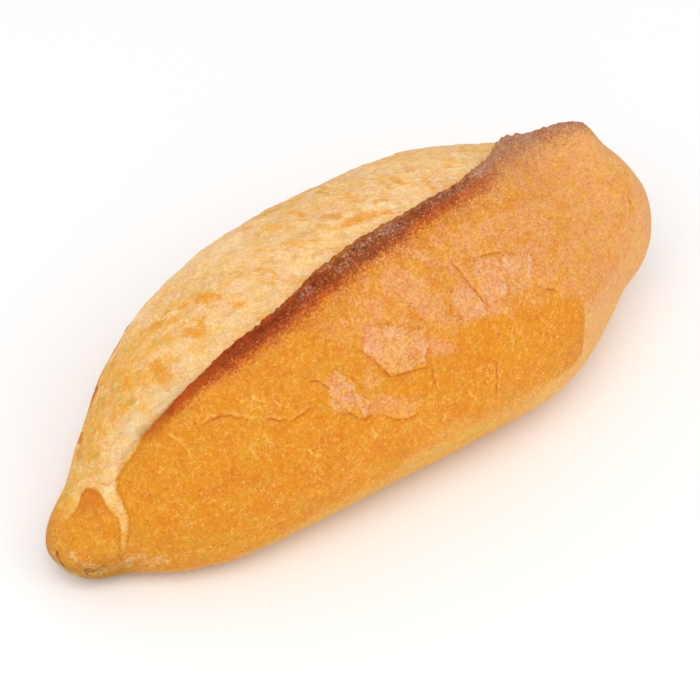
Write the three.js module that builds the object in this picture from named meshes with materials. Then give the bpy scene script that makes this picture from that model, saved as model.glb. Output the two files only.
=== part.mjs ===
// Bolillo roll: one crusty white bread roll that lies on its flat baked base.
//
// The roll is a single loft of closed cross sections along X, from the knob that ends it at -X to
// the blunt end at +X. A section is a rounded loaf outline, wider than it is tall, whose points are
// named by an angle: 0 is the middle of the base, 90 the front (-Y), 180 the crown and 270 the back.
// One score opens along the crown. In front of the score the crust lifts into an ear that leans over
// the torn crumb behind it, and the crumb runs down the back to a low rim where the crust starts
// again. At the knob the score runs out between the body's crust and a tongue of the knob's crust,
// as a stretched tear round the front of the neck. Units are millimetres, +Z is up.

import * as THREE from 'three';
import { LoftGeometry } from 'three/addons/geometries/LoftGeometry.js';

const { clamp, degToRad, lerp, smoothstep } = THREE.MathUtils;

// Driving dimensions of the loaf
const LENGTH = 150;
const WIDTH = 64;
const CROWN = 50;
const WAIST = 0.42; // share of a section's height at which it is widest
const UPPER_POWER = 2.2; // superellipse power above the waist
const LOWER_POWER = 2.6; // and below it, where the dough slumps squarer
const BASE_FLAT = 1.4; // how deep the underside is pressed flat on the oven floor

// The two ends: radius that rounds the end off, its power, the height of its tip, and its lift
const KNOB = { round: 9, power: 2, tip: 8.8, lift: 2, liftFrom: 0.67 };
const BLUNT = { round: 11.5, power: 2.1, tip: 23.5, lift: 10.8, liftFrom: 0.6 };

// Loaf stations, by their share of the half length from the middle: half width as a share of half
// the WIDTH, crown height as a share of CROWN, and the sideways wander in millimetres
const LOAF = [
	{ at: - 1.00, half: 0.26, crown: 0.30, wander: 1.0 },
	{ at: - 0.88, half: 0.30, crown: 0.38, wander: 1.0 },
	{ at: - 0.75, half: 0.54, crown: 0.54, wander: 0.5 },
	{ at: - 0.60, half: 0.74, crown: 0.74, wander: 0.5 },
	{ at: - 0.40, half: 0.88, crown: 0.92, wander: 1.0 },
	{ at: - 0.10, half: 0.97, crown: 1.00, wander: 0.5 },
	{ at: 0.25, half: 1.00, crown: 0.98, wander: - 1.5 },
	{ at: 0.50, half: 0.94, crown: 0.92, wander: - 2.0 },
	{ at: 0.70, half: 0.70, crown: 0.84, wander: - 3.0 },
	{ at: 0.85, half: 0.51, crown: 0.85, wander: - 4.5 },
	{ at: 1.00, half: 0.43, crown: 0.67, wander: - 7.0 },
];

// Score stations: the angle of the tear, the angle that the torn crumb spans behind it, and the
// height of the ear as a share of EAR_HEIGHT
const SCORE = [
	{ at: - 1.00, tear: 197, span: 12, ear: 0.00 },
	{ at: - 0.86, tear: 197, span: 18, ear: 0.00 },
	{ at: - 0.82, tear: 172, span: 50, ear: 0.05 },
	{ at: - 0.75, tear: 176, span: 61, ear: 0.15 },
	{ at: - 0.60, tear: 172, span: 64, ear: 0.40 },
	{ at: - 0.45, tear: 168, span: 68, ear: 0.65 },
	{ at: - 0.30, tear: 167, span: 69, ear: 0.80 },
	{ at: 0.00, tear: 173, span: 65, ear: 0.95 },
	{ at: 0.40, tear: 178, span: 58, ear: 0.95 },
	{ at: 0.52, tear: 182, span: 53, ear: 1.00 },
	{ at: 0.65, tear: 193, span: 37, ear: 1.20 },
	{ at: 0.75, tear: 194, span: 27, ear: 1.10 },
	{ at: 0.85, tear: 190, span: 21, ear: 0.85 },
	{ at: 0.92, tear: 190, span: 16, ear: 0.25 },
	{ at: 1.00, tear: 190, span: 12, ear: 0.00 },
];

// The ear
const EAR_HEIGHT = 3;
const EAR_LEAN = 0.65; // how far the ear leans over the crumb, as a share of its height
const EAR_RISE = 22; // degrees of crust in front of the tear that lift with the ear
const EAR_RISE_POWER = 1.2; // over 1 keeps the lift for the last of those degrees
const EAR_NOSE = 1.1; // radius of its rounded edge
const EAR_NOSE_SHARE = 0.45; // the nose's largest share of the ear's height
const EAR_TURNS = [ 90, 35, - 20, - 75 ]; // where the rounded edge has points, in degrees of turn
const EAR_CHIPS = { share: 0.07, wave: 1.15 }; // chipped edge: share of the height, radians a mm

// Degrees past the tear of what lies behind it: where the crust lies flat, and where the ear stands
const EDGE_STEP = { flat: 0.9, drawnIn: 0.3 }; // from one point of the ear's edge to the next
const GROOVE_SIDE = { flat: 3.8, drawnIn: 1.6 };
const GULLET = { flat: 5, drawnIn: 3.2 }; // the groove's deepest line

// The groove under the ear: its depth, the share of it that its side has, and how far the side and
// the gullet are drawn under the ear, as shares of the ear's lean
const GROOVE = { depth: 2.2, sideDepth: 0.7, sideShift: 0.1, gulletShift: 0.4 };

// The torn crumb and the rim behind it
const CRUMB_DIP = { power: 1.6, decay: 1.2 }; // how the crumb climbs out of the groove
const FURROWS = { depth: 0.3, along: 1.3, across: 2.1 }; // radians a mm, and from column to column
const RIM_HEIGHT = 0.5;
const RIM_WIDTH = 1.5; // degrees
const RIM_FADE = 0.45; // share of the way down the back at which the rim has died away

// Slow uneven swelling of the crust: height, and radians a millimetre along and a degree round
const SWELL = 0.12;
const SWELL_WAVES = [ { along: 0.16, round: 0.05 }, { along: 0.27, round: - 0.08 } ];

// Ranges over which a feature comes in or dies away
const PRESSED_ENDS = [ 0.55, 0.85 ]; // the flat base, in shares of the half length
const OPENING_STARTS = [ - 0.98, - 0.45 ]; // the groove, in shares of the half length
const OPENING_ENDS = [ 0.45, 0.95 ];
const RELIEF_SIZE = [ 0.1, 0.8 ]; // all relief, in shares of a section's full size
const TORN_SPAN = [ 12, 40 ]; // rim and furrows, in degrees of the crumb's span
const SWELL_FROM_BASE = [ 40, 75 ]; // swelling, in degrees from the middle of the base

// The stretched tear round the front of the neck. It starts beside the score and runs down and back:
// slant and backswing move it along X, and it narrows, over the given degrees.
const NECK_TEAR = { x: - 62.1, slant: 1, backswing: 1.3, depth: 0.55, wide: 1.4, narrow: 0.7 };
const NECK_TEAR_RUN = { start: 174, degrees: 60 };
const NECK_TEAR_FOOT = [ 70, 110 ]; // degrees over which it dies away below
const NECK_TEAR_HEAD = [ 172, 182 ]; // and above

// Mesh density
const SECTIONS = 112;
const END_CROWDING = 0.7; // 0 spaces the sections evenly, 1 packs them towards the ends
const FRONT_COLUMNS = 16;
const FRONT_CROWDING = 1.25; // over 1 packs the front's columns towards the score
const CRUMB_COLUMNS = 7;
const BACK_COLUMNS = 6;
const SMALLEST_SECTION = 0.15; // the end sections' size, as a share of an unrounded section
const PROBE = 0.05; // degrees either side of a point, between which the outline's direction is taken

// Value of a smooth curve through one named entry of the stations, as a cubic Hermite spline.
function along( stations, name, at ) {

	const last = stations.length - 1;
	const slope = ( i ) => {

		const before = stations[ Math.max( i - 1, 0 ) ];
		const after = stations[ Math.min( i + 1, last ) ];
		return ( after[ name ] - before[ name ] ) / ( after.at - before.at );

	};

	let i = 0;
	while ( i < last - 1 && at >= stations[ i + 1 ].at ) i ++;
	const from = stations[ i ];
	const to = stations[ i + 1 ];
	const gap = to.at - from.at;
	const t = ( at - from.at ) / gap;
	const rest = 1 - t;
	const ends = rest * rest * ( 1 + 2 * t ) * from[ name ] + t * t * ( 3 - 2 * t ) * to[ name ];
	return ends + t * rest * gap * ( rest * slope( i ) - t * slope( i + 1 ) );

}

// A power that keeps the sign, as superellipses need.
function signedPower( value, power ) {

	return Math.sign( value ) * Math.abs( value ) ** power;

}

// Share of full size that a rounded end leaves at a distance from its tip.
function endRounding( distance, end ) {

	const rest = 1 - clamp( distance / end.round, 0, 1 );
	return ( 1 - rest ** end.power ) ** ( 1 / end.power );

}

// How far an end's underside curls up off the base.
function endLift( share, end ) {

	return end.lift * clamp( ( share - end.liftFrom ) / ( 1 - end.liftFrom ), 0, 1 ) ** 2;

}

// Everything that one cross section needs, at a share of the half length.
function sectionAt( at ) {

	const x = at * LENGTH / 2;
	const size = endRounding( LENGTH / 2 + x, KNOB ) * endRounding( LENGTH / 2 - x, BLUNT );
	const full = Math.max( size, SMALLEST_SECTION );
	const tip = lerp( KNOB.tip, BLUNT.tip, ( at + 1 ) / 2 );
	const pressed = BASE_FLAT * ( 1 - smoothstep( Math.abs( at ), ...PRESSED_ENDS ) );
	const underside = endLift( - at, KNOB ) + endLift( at, BLUNT ) - pressed;
	const top = lerp( tip, along( LOAF, 'crown', at ) * CROWN, full );
	const bottom = lerp( tip, underside, full );
	const relief = smoothstep( full, ...RELIEF_SIZE );
	const span = along( SCORE, 'span', at );
	return {
		x,
		top,
		bottom,
		waist: lerp( bottom, top, WAIST ),
		half: along( LOAF, 'half', at ) * WIDTH / 2 * full,
		wander: along( LOAF, 'wander', at ),
		tear: along( SCORE, 'tear', at ),
		span,
		torn: smoothstep( span, ...TORN_SPAN ),
		ear: EAR_HEIGHT * Math.max( along( SCORE, 'ear', at ), 0 ) * relief,
		opening: smoothstep( at, ...OPENING_STARTS ) * ( 1 - smoothstep( at, ...OPENING_ENDS ) ) * relief,
		relief,
	};

}

// Point of the plain loaf outline at an angle.
function outlinePoint( section, degrees ) {

	const angle = degToRad( degrees );
	const low = Math.cos( angle ) > 0;
	const power = 2 / ( low ? LOWER_POWER : UPPER_POWER );
	const reach = low ? section.waist - section.bottom : section.top - section.waist;
	const y = section.wander - section.half * signedPower( Math.sin( angle ), power );
	return new THREE.Vector2( y, section.waist - reach * signedPower( Math.cos( angle ), power ) );

}

// Depth of the stretched tear round the front of the neck.
function neckTear( x, degrees ) {

	const run = ( NECK_TEAR_RUN.start - degrees ) / NECK_TEAR_RUN.degrees;
	const middle = NECK_TEAR.x - NECK_TEAR.slant * run - NECK_TEAR.backswing * run ** 2;
	const width = lerp( NECK_TEAR.wide, NECK_TEAR.narrow, clamp( run, 0, 1 ) );
	const across = Math.exp( - ( ( ( x - middle ) / width ) ** 2 ) );
	const head = 1 - smoothstep( degrees, ...NECK_TEAR_HEAD );
	return NECK_TEAR.depth * across * smoothstep( degrees, ...NECK_TEAR_FOOT ) * head;

}

// Point of the finished surface: out from the outline by rise, and on around it by shift.
function surfacePoint( section, { degrees, rise = 0, shift = 0 } ) {

	const point = outlinePoint( section, degrees );
	const ahead = outlinePoint( section, degrees + PROBE );
	const tangent = ahead.sub( outlinePoint( section, degrees - PROBE ) ).normalize();
	const out = rise - neckTear( section.x, degrees );
	const y = point.x - tangent.y * out + tangent.x * shift;
	const z = point.y + tangent.x * out + tangent.y * shift;
	return new THREE.Vector3( section.x, y, Math.max( z, 0 ) );

}

// Slow uneven swelling of the crust, which fades towards the base.
function swelling( section, degrees ) {

	const waves = SWELL_WAVES.map( ( wave ) => Math.sin( wave.along * section.x + wave.round * degrees ) );
	const wave = waves.reduce( ( sum, value ) => sum + value );
	const fromBase = Math.min( degrees, 360 - degrees );
	return SWELL * section.relief * wave * smoothstep( fromBase, ...SWELL_FROM_BASE );

}

// Crust from the middle of the base up the front to the score, lifting with the ear.
function frontCrust( section ) {

	return Array.from( { length: FRONT_COLUMNS }, ( _, i ) => {

		const degrees = section.tear * ( 1 - ( 1 - i / FRONT_COLUMNS ) ** FRONT_CROWDING );
		const lift = smoothstep( degrees, section.tear - EAR_RISE, section.tear ) ** EAR_RISE_POWER;
		return { degrees, rise: section.ear * lift + swelling( section, degrees ) * ( 1 - lift ) };

	} );

}

// Angle of something behind the tear, which draws in where the ear stands.
function pastTear( section, { flat, drawnIn }, steps = 1 ) {

	return section.tear + steps * lerp( flat, drawnIn, clamp( section.ear / EAR_HEIGHT, 0, 1 ) );

}

// The ear's rounded edge, from its chipped crest to its underside.
function earEdge( section ) {

	const phase = EAR_CHIPS.wave * section.x;
	const crest = section.ear * ( 1 + EAR_CHIPS.share * ( Math.sin( phase ) + Math.sin( 2 * phase + 1 ) ) );
	const nose = Math.min( EAR_NOSE, EAR_NOSE_SHARE * section.ear );
	const lean = Math.max( EAR_LEAN * crest * section.opening - nose, 0 );
	return EAR_TURNS.map( ( turn, i ) => ( {
		degrees: pastTear( section, EDGE_STEP, i ),
		rise: crest - nose + nose * Math.sin( degToRad( turn ) ),
		shift: lean + nose * Math.cos( degToRad( turn ) ),
	} ) );

}

// The groove under the ear, and the torn crumb from its floor to the rim.
function crumb( section ) {

	const depth = GROOVE.depth * section.opening;
	const lean = EAR_LEAN * section.ear * section.opening;
	const side = {
		degrees: pastTear( section, GROOVE_SIDE ),
		rise: - GROOVE.sideDepth * depth,
		shift: GROOVE.sideShift * lean,
	};
	const gullet = { degrees: pastTear( section, GULLET ), rise: - depth, shift: GROOVE.gulletShift * lean };
	const torn = Array.from( { length: CRUMB_COLUMNS }, ( _, i ) => {

		const share = ( i + 1 ) / ( CRUMB_COLUMNS + 1 );
		const dip = depth * ( 1 - share ) ** CRUMB_DIP.power * Math.exp( - CRUMB_DIP.decay * share );
		const furrows = Math.sin( FURROWS.along * section.x + FURROWS.across * i ) * Math.sin( Math.PI * share );
		return {
			degrees: lerp( gullet.degrees, section.tear + section.span, share ),
			rise: FURROWS.depth * furrows * section.torn - dip,
		};

	} );
	return [ side, gullet, ...torn ];

}

// The rim behind the crumb and the crust down the back to the middle of the base.
function backCrust( section ) {

	const start = section.tear + section.span;
	const rim = RIM_HEIGHT * section.relief * section.torn;
	const columns = [ { degrees: start }, { degrees: start + RIM_WIDTH, rise: rim } ];
	for ( let i = 1; i <= BACK_COLUMNS; i ++ ) {

		const share = i / ( BACK_COLUMNS + 1 );
		const degrees = lerp( start + RIM_WIDTH, 360, share );
		const rise = rim * ( 1 - smoothstep( share, 0, RIM_FADE ) ) + swelling( section, degrees );
		columns.push( { degrees, rise } );

	}

	return columns;

}

// One closed ring of points round the roll, spread evenly where it closes in on an end.
function ring( at ) {

	const section = sectionAt( at );
	const columns = [
		...frontCrust( section ),
		...earEdge( section ),
		...crumb( section ),
		...backCrust( section ),
	];
	return columns.map( ( column, i ) => {

		const even = 360 * i / columns.length;
		return surfacePoint( section, { ...column, degrees: lerp( even, column.degrees, section.relief ) } );

	} );

}

// Shares of the half length from the blunt end to the knob, closer together at both ends.
function sectionShares() {

	return Array.from( { length: SECTIONS }, ( _, i ) => {

		const even = 1 - 2 * i / ( SECTIONS - 1 );
		return lerp( even, Math.sin( even * Math.PI / 2 ), END_CROWDING );

	} );

}

// The roll's solid, with the middle of its base box at the origin.
function rollGeometry() {

	const geometry = new LoftGeometry( sectionShares().map( ring ), { capStart: true, capEnd: true } );
	geometry.computeBoundingBox();
	const middle = geometry.boundingBox.getCenter( new THREE.Vector3() );
	return geometry.translate( - middle.x, - middle.y, 0 );

}

const crust = new THREE.MeshStandardMaterial( { color: 0xe6932f, roughness: 0.55, metalness: 0 } );

const roll = new THREE.Mesh( rollGeometry(), crust );
roll.name = 'roll';

const bolillo = new THREE.Group();
bolillo.add( roll );

export default bolillo;
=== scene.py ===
"""A baked bolillo roll: an orange-gold crust with a toasted ear over its torn crumb."""

import logging
import math
from collections.abc import Mapping, Sequence
from dataclasses import dataclass
from enum import Enum

import bmesh
import bpy
import numpy as np
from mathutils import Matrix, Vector, noise


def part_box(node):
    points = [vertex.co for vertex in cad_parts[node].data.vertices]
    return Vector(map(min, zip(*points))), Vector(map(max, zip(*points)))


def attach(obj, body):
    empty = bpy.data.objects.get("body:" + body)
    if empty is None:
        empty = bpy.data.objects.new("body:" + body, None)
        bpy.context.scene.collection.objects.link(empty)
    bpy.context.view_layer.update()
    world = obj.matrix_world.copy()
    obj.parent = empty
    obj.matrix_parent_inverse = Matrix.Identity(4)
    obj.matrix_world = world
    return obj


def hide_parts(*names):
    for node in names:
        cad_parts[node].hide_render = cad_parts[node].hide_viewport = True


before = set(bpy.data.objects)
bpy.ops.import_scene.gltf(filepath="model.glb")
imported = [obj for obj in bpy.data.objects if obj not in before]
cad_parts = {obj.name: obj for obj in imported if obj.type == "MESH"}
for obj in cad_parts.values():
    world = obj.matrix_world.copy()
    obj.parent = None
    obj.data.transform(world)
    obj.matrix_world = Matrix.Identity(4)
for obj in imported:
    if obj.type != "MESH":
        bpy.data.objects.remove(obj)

LOG = logging.getLogger("bolillo")
MM = 0.001
NODE = "roll"
BODY = "root"

Shade = tuple[float, float, float, float]
Values = np.ndarray | float


def tone(red: float, green: float, blue: float) -> Shade:
    """A display colour, each part from 0 to 255, as linear light."""

    def linear(value: float) -> float:
        """One channel as linear light."""
        part = value / 255
        return part / 12.92 if part <= 0.04045 else ((part + 0.055) / 1.055) ** 2.4

    return linear(red), linear(green), linear(blue), 1.0


def ease(value: Values, low: Values, high: Values) -> np.ndarray:
    """A smooth step from 0 at low to 1 at high."""
    share = np.clip((np.asarray(value) - low) / (high - low), 0, 1)
    return share * share * (3 - 2 * share)


def blend(first: Values, second: Values, share: Values) -> np.ndarray:
    """The value that lies the given share of the way from first to second."""
    return first + (np.asarray(second) - first) * share


def grain(points: np.ndarray, size: float, octaves: int = 2, seed: float = 0.0) -> np.ndarray:
    """Fractal noise, about -1 to 1, at each point.

    Args:
        points: coordinates in millimetres, with x, y and z last.
        size: how many millimetres the largest lumps are across.
        octaves: how many times finer lumps are added.
        seed: moves the pattern, so that two fields differ.

    Returns:
        One value for each point.
    """
    spots = (points / size + seed).reshape(-1, 3).tolist()
    values = [noise.fractal(spot, 1.0, 2.0, octaves) for spot in spots]
    return np.array(values).reshape(points.shape[:-1])


def ridge(distance: np.ndarray, width: float) -> np.ndarray:
    """A soft ridge, 1 on its line and fading over the width to both sides."""
    return np.exp(-((distance / width) ** 2))


def charted(x: np.ndarray, across: np.ndarray) -> np.ndarray:
    """Places on a flat chart, with x and the way across last."""
    return np.stack([np.broadcast_to(x, across.shape), across], axis=-1)


def run_along(points: np.ndarray) -> np.ndarray:
    """How far along its row each point lies, in millimetres."""
    steps = np.linalg.norm(np.diff(points, axis=1), axis=-1)
    return np.concatenate([np.zeros((len(points), 1)), np.cumsum(steps, axis=1)], axis=1)


def new_object(name: str, data: bpy.types.ID) -> bpy.types.Object:
    """An object of the scene, at the origin."""
    item = bpy.data.objects.new(name, data)
    bpy.context.scene.collection.objects.link(item)
    return item


def hang(item: bpy.types.Object, target: Vector, turn: float, tilt: float, distance: float) -> None:
    """Hangs a lamp or camera round a target, and faces it there.

    Args:
        item: the lamp or camera.
        target: the place it looks at, in metres.
        turn: degrees round from the front.
        tilt: degrees up from the floor.
        distance: metres from the target.
    """
    round_by, up_by = math.radians(turn), math.radians(tilt)
    level = math.cos(up_by)
    back = Vector((math.sin(round_by) * level, -math.cos(round_by) * level, math.sin(up_by)))
    item.location = target + back * distance
    item.rotation_euler = (-back).to_track_quat("-Z", "Y").to_euler()


# ---------------------------------------------------------------- the roll's form


@dataclass(frozen=True)
class LoafStation:
    """The loaf's outline at one share of its half length."""

    at: float
    half: float
    crown: float
    wander: float


@dataclass(frozen=True)
class ScoreStation:
    """The score at one share of the half length: tear and span in degrees, ear as a share."""

    at: float
    tear: float
    span: float
    ear: float


@dataclass(frozen=True)
class RoundedEnd:
    """How one end of the loaf is rounded off and lifted, in millimetres."""

    round_off: float
    power: float
    tip: float
    lift: float
    lift_from: float

    def size(self, distance: np.ndarray) -> np.ndarray:
        """Share of full size that is left at a distance from the tip."""
        rest = 1 - np.clip(distance / self.round_off, 0, 1)
        return (1 - rest**self.power) ** (1 / self.power)

    def lifted(self, share: np.ndarray) -> np.ndarray:
        """How far the underside has curled up off the base."""
        return self.lift * np.clip((share - self.lift_from) / (1 - self.lift_from), 0, 1) ** 2


@dataclass
class Sections:
    """Cross sections side by side: each field holds one value a row, as a column vector."""

    at: np.ndarray
    x: np.ndarray
    top: np.ndarray
    bottom: np.ndarray
    waist: np.ndarray
    half: np.ndarray
    wander: np.ndarray
    tear: np.ndarray
    span: np.ndarray
    ear: np.ndarray
    opening: np.ndarray
    relief: np.ndarray

    @property
    def line(self) -> np.ndarray:
        """A place on the roll's axis for each row, where noise is read."""
        return np.concatenate([self.x, 0 * self.x, 0 * self.x], axis=-1)

    def standing(self, height: float) -> np.ndarray:
        """The ear's height as a share of the one given, 1 at most."""
        return np.clip(self.ear / height, 0, 1)


@dataclass(frozen=True)
class RollForm:
    """The roll's shape, in millimetres, named by a share of its half length and an angle.

    Angle 0 is the middle of the base, 90 the front, 180 the crown and 270 the back.
    """

    length: float
    width: float
    crown: float
    side_middle: float = -0.875
    waist: float = 0.42
    upper_power: float = 2.2
    lower_power: float = 2.6
    base_flat: float = 1.4
    ear_height: float = 3.0
    ear_lean: float = 0.65
    ear_rise: float = 22.0
    groove_depth: float = 2.2
    knob: RoundedEnd = RoundedEnd(9.0, 2.0, 8.8, 2.0, 0.67)
    blunt: RoundedEnd = RoundedEnd(11.5, 2.1, 23.5, 10.8, 0.6)
    loaf: tuple[LoafStation, ...] = (
        LoafStation(-1.00, 0.26, 0.30, 1.0),
        LoafStation(-0.88, 0.30, 0.38, 1.0),
        LoafStation(-0.75, 0.54, 0.54, 0.5),
        LoafStation(-0.60, 0.74, 0.74, 0.5),
        LoafStation(-0.40, 0.88, 0.92, 1.0),
        LoafStation(-0.10, 0.97, 1.00, 0.5),
        LoafStation(0.25, 1.00, 0.98, -1.5),
        LoafStation(0.50, 0.94, 0.92, -2.0),
        LoafStation(0.70, 0.70, 0.84, -3.0),
        LoafStation(0.85, 0.51, 0.85, -4.5),
        LoafStation(1.00, 0.43, 0.67, -7.0),
    )
    score: tuple[ScoreStation, ...] = (
        ScoreStation(-1.00, 197, 12, 0.00),
        ScoreStation(-0.86, 197, 18, 0.00),
        ScoreStation(-0.82, 172, 50, 0.05),
        ScoreStation(-0.75, 176, 61, 0.15),
        ScoreStation(-0.60, 172, 64, 0.40),
        ScoreStation(-0.45, 168, 68, 0.65),
        ScoreStation(-0.30, 167, 69, 0.80),
        ScoreStation(0.00, 173, 65, 0.95),
        ScoreStation(0.40, 178, 58, 0.95),
        ScoreStation(0.52, 182, 53, 1.00),
        ScoreStation(0.65, 193, 37, 1.20),
        ScoreStation(0.75, 194, 27, 1.10),
        ScoreStation(0.85, 190, 21, 0.85),
        ScoreStation(0.92, 190, 16, 0.25),
        ScoreStation(1.00, 190, 12, 0.00),
    )

    @staticmethod
    def along(stations: Sequence[object], name: str, at: np.ndarray) -> np.ndarray:
        """A smooth curve through one entry of the stations, as a cubic Hermite spline.

        Args:
            stations: loaf or score stations, in order of at.
            name: the entry that is read.
            at: shares of the half length.

        Returns:
            The curve's value at each share.
        """
        knots = np.array([station.at for station in stations])
        values = np.array([getattr(station, name) for station in stations], dtype=float)
        ahead = np.r_[1 : len(knots), len(knots) - 1]
        behind = np.r_[0, 0 : len(knots) - 1]
        slopes = (values[ahead] - values[behind]) / (knots[ahead] - knots[behind])
        first = np.clip(np.searchsorted(knots, at, side="right") - 1, 0, len(knots) - 2)
        gap = knots[first + 1] - knots[first]
        share = (at - knots[first]) / gap
        rest = 1 - share
        ends = rest**2 * (1 + 2 * share) * values[first] + share**2 * (3 - 2 * share) * values[first + 1]
        return ends + share * rest * gap * (rest * slopes[first] - share * slopes[first + 1])

    def sections(self, at: np.ndarray) -> Sections:
        """The cross sections at shares of the half length.

        Args:
            at: one share a row, from -1 at the knob's tip to 1 at the blunt end.

        Returns:
            Everything that the rows' outlines need.
        """
        at = np.asarray(at, dtype=float)[:, None]
        reach = self.length / 2
        x = at * reach
        full = np.maximum(self.knob.size(reach + x) * self.blunt.size(reach - x), 1e-4)
        tip = blend(self.knob.tip, self.blunt.tip, (at + 1) / 2)
        pressed = self.base_flat * (1 - ease(np.abs(at), 0.55, 0.85))
        underside = self.knob.lifted(-at) + self.blunt.lifted(at) - pressed
        top = blend(tip, self.along(self.loaf, "crown", at) * self.crown, full)
        bottom = blend(tip, underside, full)
        relief = ease(full, 0.1, 0.8)
        ear = np.maximum(self.along(self.score, "ear", at), 0)
        return Sections(
            at=at,
            x=x,
            top=top,
            bottom=bottom,
            waist=blend(bottom, top, self.waist),
            half=self.along(self.loaf, "half", at) * self.width / 2 * full,
            wander=self.along(self.loaf, "wander", at) - self.side_middle,
            tear=self.along(self.score, "tear", at),
            span=self.along(self.score, "span", at),
            ear=self.ear_height * ear * relief,
            opening=ease(at, -0.98, -0.45) * (1 - ease(at, 0.45, 0.95)) * relief,
            relief=relief,
        )

    def outline(self, rows: Sections, degrees: np.ndarray) -> tuple[np.ndarray, np.ndarray]:
        """The plain loaf outline's y and z at angles."""
        angle = np.radians(degrees)
        sine, cosine = np.sin(angle), np.cos(angle)
        low = cosine > 0
        power = 2 / np.where(low, self.lower_power, self.upper_power)
        reach = np.where(low, rows.waist - rows.bottom, rows.top - rows.waist)
        y = rows.wander - rows.half * np.sign(sine) * np.abs(sine) ** power
        return y, rows.waist - reach * np.sign(cosine) * np.abs(cosine) ** power

    def surface(
        self, rows: Sections, degrees: np.ndarray, rise: np.ndarray, shift: np.ndarray
    ) -> np.ndarray:
        """Points out from the outline by rise and on around it by shift.

        Args:
            rows: the cross sections.
            degrees: angles, one row of them for each section.
            rise: millimetres outwards.
            shift: millimetres onwards, towards larger angles.

        Returns:
            Points with x, y and z last, none of them below the base.
        """
        y, z = self.outline(rows, degrees)
        ahead, behind = self.outline(rows, degrees + 0.05), self.outline(rows, degrees - 0.05)
        along_y, along_z = ahead[0] - behind[0], ahead[1] - behind[1]
        size = np.hypot(along_y, along_z) + 1e-12
        along_y, along_z = along_y / size, along_z / size
        y = y - along_z * rise + along_y * shift
        z = z + along_y * rise + along_z * shift
        return np.stack([np.broadcast_to(rows.x, y.shape), y, np.maximum(z, 0)], axis=-1)

    def past_tear(self, rows: Sections, flat: float, drawn_in: float) -> np.ndarray:
        """Degrees past the tear, which draw in where the ear stands."""
        return rows.tear + blend(flat, drawn_in, rows.standing(self.ear_height))


# ---------------------------------------------------------------- meshes from a wrapped sphere


@dataclass
class Wrap:
    """A closed skin: rows of points from the knob to the blunt end, with a tip at each end."""

    points: np.ndarray
    tips: tuple[np.ndarray, np.ndarray]
    fields: dict[str, np.ndarray]

    def build(self, name: str) -> bpy.types.Object:
        """Pulls a sphere onto the points and stores the fields as attributes of its vertices.

        Args:
            name: the piece's name.

        Returns:
            The finished object, at the origin.
        """
        rows, columns = self.points.shape[:2]
        ball = bmesh.new()
        bmesh.ops.create_uvsphere(ball, u_segments=columns, v_segments=rows + 1, radius=1.0)
        mesh = bpy.data.meshes.new(name)
        ball.to_mesh(mesh)
        ball.free()
        spots = np.empty(len(mesh.vertices) * 3)
        mesh.vertices.foreach_get("co", spots)
        spots = spots.reshape(-1, 3)
        polar = np.arccos(np.clip(spots[:, 2], -1, 1)) / math.pi * (rows + 1)
        ring = np.rint(polar).astype(int) - 1
        turn = np.arctan2(spots[:, 1], spots[:, 0]) / (2 * math.pi) * columns
        column = np.rint(turn).astype(int) % columns
        inner = np.clip(ring, 0, rows - 1)
        placed = self.points[inner, column]
        placed[ring < 0] = self.tips[0]
        placed[ring >= rows] = self.tips[1]
        mesh.vertices.foreach_set("co", (placed * MM).ravel())
        for label, values in self.fields.items():
            layer = mesh.attributes.new(label, "FLOAT", "POINT")
            layer.data.foreach_set("value", values[inner, column].astype(np.float32))
        mesh.polygons.foreach_set("use_smooth", np.ones(len(mesh.polygons), dtype=bool))
        mesh.update()
        return new_object(name, mesh)


def row_shares(count: int, low: float, high: float, crowding: float) -> np.ndarray:
    """Shares of the half length between two limits, closer together towards both.

    Args:
        count: how many rows.
        low: the limit near the knob.
        high: the limit near the blunt end.
        crowding: 0 spaces the rows evenly, 1 packs them towards the limits.

    Returns:
        The shares, without the limits themselves.
    """
    even = np.linspace(-1, 1, count + 2)[1:-1]
    crowded = blend(even, np.sin(even * math.pi / 2), crowding)
    return blend(low, high, (crowded + 1) / 2)


# ---------------------------------------------------------------- marks on the crust

Places = tuple[tuple[float, ...], ...]


@dataclass
class Chain:
    """A chain of straight pieces on a flat chart or in space, open or closed, in millimetres."""

    places: Places
    closed: bool = False

    def measure(self, spots: np.ndarray) -> tuple[np.ndarray, np.ndarray]:
        """How far spots lie from the chain.

        Args:
            spots: places with their coordinates last.

        Returns:
            The distance, which is negative on the left of an open chain and outside a closed one,
            and the share of the way along the chain.
        """
        corners = np.array(self.places)
        ends = np.roll(corners, -1, axis=0) if self.closed else corners[1:]
        best = np.full(spots.shape[:-1], np.inf)
        side, way = np.ones(best.shape), np.zeros(best.shape)
        inside = np.zeros(best.shape, dtype=bool)
        for index, (start, end) in enumerate(zip(corners, ends)):
            run, offset = end - start, spots - start
            share = np.clip(offset @ run / (run @ run), 0, 1)
            apart = np.linalg.norm(offset - share[..., None] * run, axis=-1)
            nearer = apart < best
            turn = offset[..., 0] * run[1] - offset[..., 1] * run[0]
            side = np.where(nearer, np.sign(turn), side)
            way = np.where(nearer, (index + share) / len(ends), way)
            best = np.minimum(apart, best)
            crosses = (start[1] > spots[..., 1]) != (end[1] > spots[..., 1])
            height = run[1] if run[1] else 1e-9
            inside ^= crosses & (offset[..., 0] < run[0] * offset[..., 1] / height)
        if self.closed:
            side = np.where(inside, 1, -1)
        return best * side, way


def outlines(patches: Sequence[Places], spots: np.ndarray) -> np.ndarray:
    """How far inside the nearest of some closed patches spots lie, at least -9 millimetres."""
    return np.max([Chain(patch, closed=True).measure(spots)[0].clip(-9) for patch in patches], axis=0)


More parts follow.
